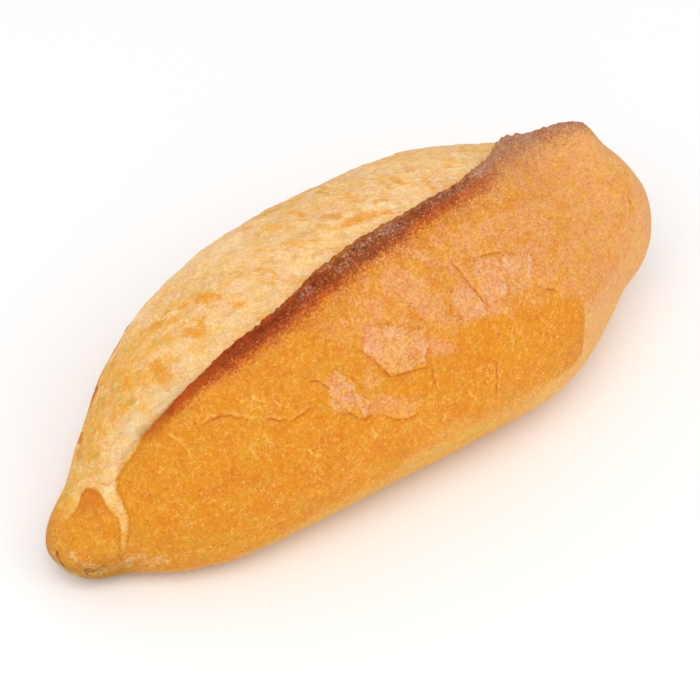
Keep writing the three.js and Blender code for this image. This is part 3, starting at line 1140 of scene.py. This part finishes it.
@dataclass(frozen=True)
class TornCoat:
    """The look of torn crumb: matte cream, golden licks and fine strands, wherever dough has torn."""

    cream: Shade = tone(243, 197, 134)
    pale: Shade = tone(247, 207, 148)
    rosy: Shade = tone(240, 184, 132)
    gold: Shade = tone(238, 170, 66)
    amber: Shade = tone(232, 150, 42)
    moss: Shade = tone(208, 168, 80)
    strand: Shade = tone(211, 147, 66)
    light: Shade = tone(254, 228, 180)

    def layer(self, board: Board, golden: Wire, lick: Wire | float, pallor: Wire) -> tuple[Wire, Wire]:
        """Paints torn crumb.

        Args:
            board: the material's tree.
            golden: how much more golden a place is, from 0.
            lick: how strongly a golden lick shows there, from 0 to 1.
            pallor: how pale a place is, from 0 to 1.

        Returns:
            The colour, and the height for the bump.
        """
        swirl = board.warped(5.0, 0.9)
        level = board.cloud(0.50, 2, 0.6, board.combed(-40, 2.6, swirl))
        slant = board.cloud(0.55, 2, 0.6, board.combed(-2, 2.2, swirl))
        fibres = level + (slant - level) * board.cloud(4.5, 1).step(0.46, 0.58)
        fine = board.cloud(0.55, 4, 0.75)
        curl = board.cloud(3.0, 3, 0.6, board.combed(-28, 2.0, swirl))
        ragged = fibres.sway(0.5) + fine.sway(0.3)

        colour = board.paint(self.cream, self.pale, pallor)
        colour = board.paint(colour, self.rosy, board.cloud(3.6, 3, 0.5).step(0.47, 0.60) * 0.65)
        colour = board.tinted(colour, 1.0, golden * -0.08 + 1.0, golden * -0.55 + 1.0)
        gilt = (curl + ragged * 0.35 + golden + lick * 0.10).step(0.44, 0.80)
        colour = board.paint(colour, self.gold, gilt * 0.85)
        wisp = board.cloud(1.1, 3, 0.6, board.combed(-30, 2.0, board.warped(2.5, 0.8)))
        colour = board.paint(colour, self.light, wisp.step(0.53, 0.68) * 0.4)
        moss = board.cloud(2.0, 3, 0.6, board.combed(-40, 2.0)).step(0.52, 0.64)
        colour = board.paint(colour, self.moss, moss * (golden * 1.6 + 0.2))
        fleck = board.cloud(2.0, 3, 0.55, board.combed(-38, 2.2, swirl)) + ragged * 0.25
        fleck = fleck.step(0.58, 0.70) * (gilt * 0.5 + 0.05)
        fleck = fleck + (lick + ragged * 1.4).step(0.40, 1.15) * 0.8
        colour = board.paint(colour, self.amber, fleck * 0.85)
        vein = board.cloud(2.6, 3, 0.5, board.combed(-32, 2.4, swirl)).threads(0.016, 0.002)
        vein = vein * board.cloud(6.0, 2).step(0.46, 0.56)
        colour = board.paint(colour, self.strand, fibres.step(0.53, 0.70) * 0.20 + vein * 0.5)
        colour = board.paint(colour, self.light, fibres.step(0.46, 0.30) * 0.20)
        yellow = board.cloud(3.2, 3, 0.5, board.warped(2.0, 1.0)).step(0.40, 0.60)
        colour = board.tinted(colour, 1.0, yellow * -0.06 + 1.03, yellow * -0.28 + 1.14)
        height = fibres * 0.35 + fine * 0.8 + wisp * 0.5 - vein * 0.2
        return board.shade(colour, fine * 0.92 + fibres * -0.06 + 0.57), height


@dataclass(frozen=True)
class CrustFinish:
    """Baked crust: orange gold, paler and duller towards the blunt end and the underside."""

    coat: TornCoat = TornCoat()
    gold: Shade = tone(221, 140, 34)
    deep: Shade = tone(212, 122, 28)
    olive: Shade = tone(210, 150, 48)
    peach: Shade = tone(227, 156, 72)
    band_left: Shade = tone(222, 172, 84)
    band_right: Shade = tone(232, 180, 112)
    speck: Shade = tone(248, 188, 92)
    pore: Shade = tone(190, 98, 24)
    film: Shade = tone(228, 159, 103)
    rose: Shade = tone(231, 170, 125)
    blush: Shade = tone(206, 104, 24)
    hairline: Shade = tone(178, 88, 28)
    glow: Shade = tone(204, 122, 42)
    ember: Shade = tone(174, 66, 14)
    russet: Shade = tone(172, 76, 14)
    toasted: Shade = tone(138, 50, 8)
    dusky: Shade = tone(138, 72, 38)
    pale_glow: Shade = tone(206, 142, 88)
    pale_ember: Shade = tone(188, 127, 84)
    dull: Shade = tone(170, 116, 82)
    burnt: Shade = tone(74, 30, 18)
    # The colour of the painted sheen on the ear.
    painted_sheen: Shade = tone(197, 153, 130)
    # The colour of the painted glints on the ear.
    painted_glint: Shade = tone(247, 182, 128)
    underside: Shade = tone(196, 122, 58)
    flour: Shade = tone(244, 212, 166)
    roughness: float = 0.52
    gloss: float = 0.12
    bump_depth: float = 0.13

    def material(self) -> bpy.types.Material:
        """Makes the crust's material."""
        board = Board("baked_crust")
        x, z = board.axis(0), board.axis(2)
        broad, mottle, fine = board.cloud(24, 2), board.cloud(6, 3, 0.6), board.cloud(0.55, 3, 0.7)

        colour = self.ground(board, x, z, broad, mottle)
        colour = self.filmed(board, colour, x, mottle, fine)
        colour, flake = self.flaked(board, colour, mottle, fine)
        colour = self.speckled(board, colour, fine)
        colour, lines = self.lined(board, colour)
        colour, char = self.toasted_ear(board, colour, x, fine)
        colour = self.browned_rim(board, colour, x, fine)
        under = (z + mottle.sway(1.2)).step(2.2, 0.5)
        floured = board.paint(self.underside, self.flour, fine.step(0.52, 0.62) * 0.5)
        colour = board.paint(colour, floured, under)
        colour = self.tinged(board, colour)
        # Painted light and shade: lighter down the lower front side and at the blunt end's tip, darker
        # under the knob and along the low left edge.
        painted_light_and_shade = board.field("below_crest").step(18, 44) * 0.09 + 0.72
        painted_light_and_shade = painted_light_and_shade - x.step(-60, -66) * z.step(13, 7) * 0.26
        painted_light_and_shade = painted_light_and_shade + x.step(58, 68) * 0.03 - x.step(-30, -48) * z.step(12, 5) * 0.05
        colour = board.shade(colour, fine * 0.60 + painted_light_and_shade)
        colour, torn, relief = self.torn_neck(board, colour, x, fine)

        rough = self.roughness + flake * 0.15 + x.step(20, 60) * 0.1 + under * 0.2 + torn * 0.3
        height = fine * 0.6 + board.cloud(1.6, 2) * 0.6 + flake * 0.4 + lines + char * 0.1 + relief
        return board.finish(colour, rough, self.gloss, Normal=board.bump(height, self.bump_depth))

    def ground(self, board: Board, x: Wire, z: Wire, broad: Wire, mottle: Wire) -> Wire:
        """The crust's own colours, from the gold front to the peach end and the paler side band."""
        blotch = board.cloud(9.5, 3, 0.55)
        mottled = mottle.step(0.45, 0.75) * 0.5 + blotch.step(0.52, 0.7) * 0.35
        colour = board.paint(self.gold, self.deep, mottled)
        low = (z + mottle.sway(9)).step(22, 9)
        tint = board.cloud(3.4, 4, 0.65)
        colour = board.paint(colour, self.olive, low * 0.4 + tint.step(0.52, 0.66) * 0.5)
        colour = board.paint(colour, self.deep, tint.step(0.47, 0.34) * 0.5)
        below = board.field("below_crest")
        reach = x - below.step(28, 42) * 12
        right = (reach + broad.sway(26) + mottle.sway(16)).step(30, 60)
        colour = board.paint(colour, self.peach, right * 0.9)
        shaken = board.field("side_band") + mottle.sway(6) + board.cloud(1.4, 2).sway(2.5)
        crisp = x.step(16, 34) * x.step(62, 50)
        side = shaken.step(-0.8, 1.4) * crisp * 0.75 + shaken.step(-2.5, 4.0) * (1 - crisp) * 0.7
        brow = (x + mottle.sway(8)).step(54, 64) * below.step(3, 6)
        side = side + brow * below.step(18, 9) * (1 - side) * 0.7
        return board.paint(colour, board.paint(self.band_left, self.band_right, x.step(8, 32)), side)

    def tinged(self, board: Board, colour: Wire) -> Wire:
        """Turns the colour redder here, more olive or more pink there."""
        ruddy = board.cloud(2.6, 3, 0.5, board.warped(2.0, 0.8)).step(0.40, 0.60)
        dusty = board.cloud(3.6, 2, 0.5).step(0.38, 0.62)
        paler = board.axis(0).step(10, 45) * -0.16 + 0.30
        blue = dusty.sway(paler) - ruddy * 0.08 + 1.04
        return board.tinted(colour, 1.0, ruddy * -0.09 + 1.045, blue)

    def filmed(self, board: Board, colour: Wire, x: Wire, mottle: Wire, fine: Wire) -> Wire:
        """Adds the rosy film of tiny blisters below the ear."""
        below = board.field("below_crest")
        plates = board.cloud(5.0, 2, 0.5)
        shaken = plates.sway(16) + mottle.sway(8) + fine.sway(8)
        lower = x.step(-26, -4) * 18 + x.step(10, 30) * 3 + x.step(30, 48) * 18 + 8
        zone = (below - lower + shaken).step(3.5, -3.5) * (x + shaken).step(-22, -4)
        patches = board.cloud(3.6, 3, 0.6)
        thin = (patches + fine.sway(0.4)).step(0.38, 0.56) * 0.65 + 0.35
        rings = board.cloud(1.1, 1, 0.5).threads(0.08, 0.02) * 0.35
        grainy = fine.step(0.36, 0.62) * 0.8 + rings
        return board.paint(colour, self.film, zone * thin * (0.20 + grainy * 0.74))

    def flaked(self, board: Board, colour: Wire, mottle: Wire, fine: Wire) -> tuple[Wire, Wire]:
        """Adds the dull flaky patches.

        Args:
            board: the material's tree.
            colour: what lies under them.
            mottle: coarse noise that makes their edges ragged.
            fine: fine noise that breaks them up.

        Returns:
            The colour, and where the patches are.
        """
        ragged = mottle.sway(1.8) + board.cloud(1.3, 3, 0.6).sway(2.2) + fine.sway(1.6)
        flake = board.field("flake") + ragged
        inside = flake.step(-0.5, 0.8)
        faint = (board.field("worn") + ragged * 1.6).step(-0.6, 1.0)
        rim = abs(flake + 0.3).step(0.4, 0.0) * board.cloud(3.0, 1).step(0.46, 0.58)
        colour = board.paint(colour, self.pore, rim * 0.45)
        grainy = (fine + board.cloud(2.2, 3, 0.6).sway(0.7)).step(0.34, 0.62) * 0.62 + 0.12
        colour = board.paint(colour, self.rose, inside * grainy)
        pale = abs(flake - 0.5).step(0.5, 0.0) * board.cloud(4.0, 1).step(0.50, 0.60)
        colour = board.paint(colour, self.flour, pale * 0.35)
        faint = faint * (fine.step(0.36, 0.62) * 0.6 + 0.2)
        return board.paint(colour, self.film, faint), inside

    def speckled(self, board: Board, colour: Wire, fine: Wire) -> Wire:
        """Adds the dapple, the fine pale blisters and the dark pores."""
        dapple = board.cloud(1.0, 4, 0.8, board.warped(1.5, 0.6))
        colour = board.paint(colour, self.speck, dapple.step(0.52, 0.68) * 0.55)
        colour = board.paint(colour, self.pore, dapple.step(0.48, 0.32) * 0.42)
        shaken = board.warped(0.8, 0.3)
        density = board.cloud(3.6, 2).step(0.36, 0.62) * 0.75 + 0.25
        curls = board.cloud(1.5, 2, 0.5, board.warped(1.3, 0.5)).threads(0.030, 0.006)
        colour = board.paint(colour, self.speck, curls * board.cloud(4.5, 3, 0.6).step(0.48, 0.62) * 0.5)
        apart, lot = board.grains(0.62, shaken)
        pale = apart.step(0.50, 0.20) * lot.step(0.58, 0.80) * density
        dark = apart.step(0.55, 0.25) * lot.step(0.34, 0.22)
        colour = board.paint(colour, self.pore, dark * 0.30)
        colour = board.paint(colour, self.speck, pale * 0.45)
        apart, lot = board.grains(2.1, board.warped(1.2, 0.6))
        blister = apart.step(0.22, 0.06) * lot.step(0.68, 0.78) * fine.step(0.40, 0.55)
        return board.paint(colour, self.flour, blister * 0.3)

    def lined(self, board: Board, colour: Wire) -> tuple[Wire, Wire]:
        """Adds hairline cracks, pale scars, and the knob's creases and dust.

        Args:
            board: the material's tree.
            colour: what lies under them.

        Returns:
            The colour, and their height for the bump.
        """
        waver = board.cloud(1.8, 2).sway(1.1)
        broken = board.cloud(1.0, 2).step(0.34, 0.56)
        apart, shown = board.field("crack") + waver, board.field("crack_show")
        crack = abs(apart).step(0.24, 0.03) * shown * broken
        halo = abs(apart).step(1.1, 0.1) * shown
        colour = board.paint(colour, self.deep, halo * 0.35)
        scar = abs(board.field("scar") + waver * 1.3).step(0.42, 0.05) * board.field("scar_show")
        colour = board.paint(colour, self.speck, scar * (broken * 0.5 + 0.12))
        beside = apart.step(0.2, 0.5) * apart.step(1.2, 0.6)
        colour = board.paint(colour, self.speck, beside * shown * broken * 0.35)
        frayed = board.cloud(0.5, 3, 0.7, board.combed(15, 2.0))
        dust = (board.field("dust") + waver * 1.4 + frayed.sway(3.4)).step(1.1, 0.1)
        colour = board.paint(colour, self.flour, dust * (frayed.step(0.44, 0.56) * 0.74 + 0.05))
        crease = (board.field("crease") + waver * 0.5).step(0.42, 0.08)
        colour = board.paint(colour, self.toasted, crease * 0.75)
        return board.paint(colour, self.hairline, crack * 0.62), scar * 0.4 - crack * 0.8 - crease

    def torn_neck(self, board: Board, colour: Wire, x: Wire, fine: Wire) -> tuple[Wire, Wire, Wire]:
        """Adds the torn skin round the neck, and the torn face under the ear.

        Args:
            board: the material's tree.
            colour: what lies under them.
            x: distance along the roll, in millimetres.
            fine: fine noise that frays their edges.

        Returns:
            The colour, where the skin has torn, and its height for the bump.
        """
        below = board.field("below_crest")
        streaks = board.cloud(0.7, 3, 0.6, board.combed(-40, 3.0))
        degrees = board.field("degrees")
        inside = board.field("neck") + streaks.sway(0.8) + fine.sway(0.3)
        inside = inside - degrees.step(205, 235) * (board.cloud(5.0, 3, 0.6).step(0.35, 0.65) * 3.2 + 0.2)
        reach = x + streaks.sway(6)
        gap = (below + fine.sway(0.5)).step(-1.3, -2.1) * board.field("ear").step(0.02, 0.1)
        gap = gap * below.step(-15, -12) * reach.step(66, 61)
        skin = inside.step(-0.15, 0.45) * reach.step(-74.5, -66)
        lip = abs(inside + 0.25).step(0.35, 0.05) * x.step(-72, -68) * (1 - gap)
        colour = board.paint(colour, self.hairline, lip * 0.25)
        blush = inside.step(-5.5, -0.8) * x.step(-61, -64) * x.step(-69, -67) * degrees.step(150, 180)
        colour = board.paint(colour, self.blush, blush * 0.55)
        golden = x.step(-63, -71) * 0.20 + degrees.step(172, 155) * 0.10 + degrees.step(182, 205) * 0.12
        layer, height = self.coat.layer(board, golden + 0.02, 0.0, x.step(-70, -62))
        layer = board.tinted(layer, 0.98, 1.0, 0.88)
        torn = skin + gap - skin * gap
        return board.paint(colour, layer, torn * 0.96), torn, height * torn * 0.6

    def toasted_ear(self, board: Board, colour: Wire, x: Wire, fine: Wire) -> tuple[Wire, Wire]:
        """Adds the toasted band along the ear.

        Args:
            board: the material's tree.
            colour: what lies under it.
            x: distance along the roll, in millimetres.
            fine: fine noise that breaks it up.

        Returns:
            The colour, and how charred it is.
        """
        below = board.field("below_crest")
        lump = board.cloud(2.8, 3, 0.6)
        width = x.step(-46, -29) * 3.7 + x.step(-30, -8) * 2.2 - x.step(6, 18) * 1.4
        width = width - x.step(54, 68) * 3.2 + 4.0 + x.step(40, 46) * x.step(58, 52) * 2.4
        far = below + lump.sway(x.step(36, 54) * 4 + 1.8) + board.cloud(0.9, 2).sway(1.6)
        far = far + fine.sway(below * 0.6 + 2.0)
        share = far / width
        reach = x + lump.sway(8)
        here = reach.step(-55, -43) * below.step(-2.2, -1.2) * reach.step(76, 66)
        faded = reach.step(72, 50) * 0.7 + reach.step(74, 66) * 0.3
        duller = x.step(22, 50)
        glow = board.paint(self.glow, self.pale_glow, duller)
        ember = board.paint(self.ember, self.pale_ember, duller)
        colour = board.paint(colour, glow, share.step(1.15, 0.5) * here * faded * 0.78)
        colour = board.paint(colour, ember, share.step(0.78, 0.40) * here * faded * 0.85)
        core = board.paint(self.russet, self.toasted, reach.step(-44, -30))
        core = board.paint(core, self.dusky, x.step(-24, 4) * 0.8)
        core = board.paint(core, self.dull, x.step(14, 40))
        patchy = 1 - lump.step(0.50, 0.36) * x.step(36, 56) * 0.7
        darker = x.step(42, 50) * 0.15 + x.step(-14, -4) * x.step(14, 6) * 0.12
        heart = (share + x.step(8, 30) * 0.13 - darker).step(0.54, 0.26)
        colour = board.paint(colour, core, heart * here * reach.step(76, 60) * patchy * 0.88)
        lip = board.paint(self.ember, glow, x.step(-34, -4))
        on_edge = below.step(1.4, 0.3) * below.step(-1.0, 0.0)
        colour = board.paint(colour, lip, on_edge * here * faded * 0.5)
        streaks = board.cloud(0.75, 3, 0.7, board.combed(12, 2.5))
        dark = streaks.step(0.50, 0.64) * share.step(0.50, 0.10) * here
        dark = dark * x.step(-46, -26) * x.step(60, 20)
        colour = board.paint(colour, self.burnt, dark * 0.62)
        # Painted sheen: lilac-grey highlights on the ear's dark core, below its crest.
        painted_sheen = lump.step(0.47, 0.60) * fine.step(0.38, 0.60) * x.step(-26, -10) * share.step(0.52, 0.16)
        colour = board.paint(colour, self.painted_sheen, painted_sheen * below.step(0.4, 1.2) * here * 0.7)
        # Painted glints: tiny pale highlights scattered over the ear's toasted band.
        painted_glint = board.cloud(0.50, 2, 0.6, board.warped(0.9, 0.4)).step(0.57, 0.68)
        painted_glint = painted_glint * share.step(1.3, 0.7) * here * below.step(0.6, 2.5) * (x.step(-36, 14) * 0.2 + 0.27)
        painted_glint_tone = board.paint(self.speck, self.painted_glint, x.step(-26, 10))
        colour = board.paint(colour, painted_glint_tone, painted_glint)
        zone = share.step(1.1, 0.5) * here * faded
        grit = board.cloud(0.45, 4, 0.8, board.warped(0.7, 0.3)).sway(zone)
        blotch = board.cloud(1.8, 2, 0.6, board.combed(12, 1.8)).sway(zone)
        dimmed = grit * 1.9 + blotch * 0.7 + 1.0
        colour = board.tinted(colour, dimmed, grit * 0.3 + blotch * 0.4 + dimmed, grit * 0.3 + dimmed)
        return colour, dark

    def browned_rim(self, board: Board, colour: Wire, x: Wire, fine: Wire) -> Wire:
        """Browns the crust's edge along the rim behind the crumb."""
        past = abs(board.field("past_rim") + fine.sway(1.2))
        chip = abs(x - CrustShell.rim_chip).step(1.5, 0.5)
        browned = past.step(2.0, 0.8) * (chip * 0.5 + x.step(-30, 0) * 0.15)
        return board.paint(colour, self.russet, browned)


@dataclass(frozen=True)
class CrumbFinish:
    """The crumb: torn dough, more golden at the left and the far side, browned along the ear."""

    coat: TornCoat = TornCoat()
    amber: Shade = tone(226, 138, 48)
    brown: Shade = tone(160, 98, 42)
    # The colour of the painted shade on the crumb beside the ear.
    shade_grey: Shade = tone(216, 200, 156)
    olive: Shade = tone(196, 150, 52)
    roughness: float = 0.85
    gloss: float = 0.15
    bump_depth: float = 0.22

    def material(self) -> bpy.types.Material:
        """Makes the crumb's material."""
        board = Board("torn_crumb")
        x = board.axis(0)
        near, far, raised = board.field("from_ear"), board.field("to_rim"), board.field("raised")
        broad, fine = board.cloud(14, 2), board.cloud(0.5, 3, 0.7)
        outer = near.step(2, 11) * (x.step(-14, -44) * 0.17 + far.step(26, 10) * x.step(20, -20) * 0.06)
        golden = outer * (x.step(-64, -56) * 0.6 + 0.4) + broad.sway(0.35)
        pale_side = near.step(18, 24) * x.step(-48, -38) * x.step(0, -14)
        golden = golden + near.step(1.5, 4) * x.step(-52, -57) * 0.14 - pale_side * 0.20
        torn_edge = board.cloud(1.6, 4, 0.7, board.combed(-30, 1.8)).sway(5) + fine.sway(1.6)
        lick = (board.field("lick") + torn_edge).step(1.8, -0.2)
        lick = lick + (board.field("bright") + torn_edge * 0.6).step(2.1, 0.3) * 1.2
        heart = near.step(3, 5) * near.step(11, 8) * x.step(-18, -10) * x.step(42, 34)
        pallor = near.step(12, 3) * 0.5 + x.step(-20, 45) * 0.5 + pale_side * 0.6 + heart * 0.4
        colour, height = self.coat.layer(board, golden, lick, pallor)
        # Painted shade: a patchy grey strip on the crumb where it dips under the ear's lip, at the left.
        patches = board.cloud(2.4, 3, 0.6, board.combed(-50, 2.0)).step(0.42, 0.56)
        painted_shade_by_ear = near.step(8.0, 1.0) * x.step(-32, -44) * x.step(-60, -54)
        colour = board.paint(colour, self.shade_grey, painted_shade_by_ear * (patches * 0.35 + fine.step(0.35, 0.65) * 0.25))
        green = (board.field("green") + torn_edge * 0.4).step(1.2, 0.2)
        colour = board.paint(colour, self.olive, green * 0.45)
        edge = (far + fine.sway(2.5)).step(2.6, 0.4) * 0.4 * x.step(-62, -54)
        colour = board.paint(colour, self.amber, edge)
        frayed = (near + fine.sway(1.4)).step(1.3, 0.3) * x.step(-56, -44)
        colour = board.paint(colour, self.brown, frayed * 0.55)
        # Painted light and shade: lighter where the crumb's strands rise, darker where it sinks towards
        # its edges; a little lighter again on the pale side and in the heart.
        colour = board.shade(colour, raised * 0.10 + 1.0 + pale_side * 0.05 + heart * 0.02)
        normal = board.bump(height, self.bump_depth)
        return board.finish(colour, self.roughness, self.gloss, Normal=normal)


@dataclass(frozen=True)
class FloorFinish:
    """Plain pale floor."""

    white: Shade = tone(253, 253, 253)
    roughness: float = 0.9
    gloss: float = 0.1

    def material(self) -> bpy.types.Material:
        """Makes the floor's material."""
        return Board("pale_floor").finish(self.white, self.roughness, self.gloss)


# ---------------------------------------------------------------- the studio


class Softness(Enum):
    """How large a lamp is, which sets how soft its shadows are, in metres."""

    BROAD = 0.9
    WIDE = 0.6


@dataclass(frozen=True)
class Lamp:
    """A square area lamp that faces the roll."""

    name: str
    azimuth: float
    elevation: float
    distance: float
    power: float
    softness: Softness

    def build(self, target: Vector) -> None:
        """Hangs the lamp round the target."""
        data = bpy.data.lights.new(self.name, "AREA")
        data.energy, data.size = self.power, self.softness.value
        hang(new_object(self.name, data), target, self.azimuth, self.elevation, self.distance)


@dataclass(frozen=True)
class Studio:
    """The floor, the light and the camera: sizes in metres, lens and sensor in millimetres."""

    azimuth: float = -40.0
    elevation: float = 47.5
    lens: float = 150.0
    sensor: float = 36.0
    nearest: float = 0.01
    farthest: float = 20.0
    distance: float = 0.5964
    target: Vector = Vector((-3.35 * MM, -4.66 * MM, 25.0 * MM))
    floor_size: float = 6.0
    sky: float = 0.70
    lamps: tuple[Lamp, ...] = (
        Lamp("key", -55.0, 62.0, 1.2, 5.7, Softness.BROAD),
        Lamp("fill", 20.0, 50.0, 1.3, 1.7, Softness.WIDE),
    )

    def camera(self) -> None:
        """Sets the camera at the viewing angle."""
        data = bpy.data.cameras.new("camera")
        data.lens, data.sensor_width = self.lens, self.sensor
        data.clip_start, data.clip_end = self.nearest, self.farthest
        camera = new_object("camera", data)
        hang(camera, self.target, self.azimuth, self.elevation, self.distance)
        bpy.context.scene.camera = camera

    def floor(self) -> None:
        """Lays the pale floor."""
        sheet = bmesh.new()
        bmesh.ops.create_grid(sheet, x_segments=1, y_segments=1, size=self.floor_size / 2)
        mesh = bpy.data.meshes.new("floor")
        sheet.to_mesh(mesh)
        sheet.free()
        floor = new_object("floor", mesh)
        floor.data.materials.append(FloorFinish().material())

    def light(self) -> None:
        """Sets the sky and the lamps."""
        scene = bpy.context.scene
        scene.world = bpy.data.worlds.new("sky")
        scene.world.use_nodes = True
        sky = scene.world.node_tree.nodes["Background"]
        sky.inputs["Color"].default_value = (1.0, 1.0, 1.0, 1.0)
        sky.inputs["Strength"].default_value = self.sky
        scene.view_settings.view_transform = "Standard"
        for lamp in self.lamps:
            lamp.build(self.target)


# ---------------------------------------------------------------- assembly


@dataclass
class Roll:
    """The whole roll, built in the frame's box."""

    low: Vector
    high: Vector
    width_share: float = 64 / 65.43
    crown_share: float = 50 / 53.06

    def form(self) -> RollForm:
        """The roll's form, sized from the box."""
        size = (self.high - self.low) / MM
        return RollForm(length=size.x, width=size.y * self.width_share, crown=size.z * self.crown_share)

    def build(self) -> None:
        """Builds and dresses the crust and the crumb."""
        form = self.form()
        crust = CrustShell(form).build()
        crust.data.materials.append(CrustFinish().material())
        crumb = TornCrumb(form).build()
        crumb.data.materials.append(CrumbFinish().material())
        for piece in (crust, crumb):
            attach(piece, BODY)
            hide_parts(NODE)
            LOG.info("%s: %d faces", piece.name, len(piece.data.polygons))


def main() -> None:
    """Builds the roll and its studio."""
    logging.basicConfig(level=logging.INFO, format="%(name)s: %(message)s")
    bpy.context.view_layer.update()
    low, high = (Vector(corner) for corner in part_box(NODE))
    Roll(low, high).build()
    studio = Studio()
    studio.floor()
    studio.light()
    studio.camera()


if __name__ == "__main__":
    main()
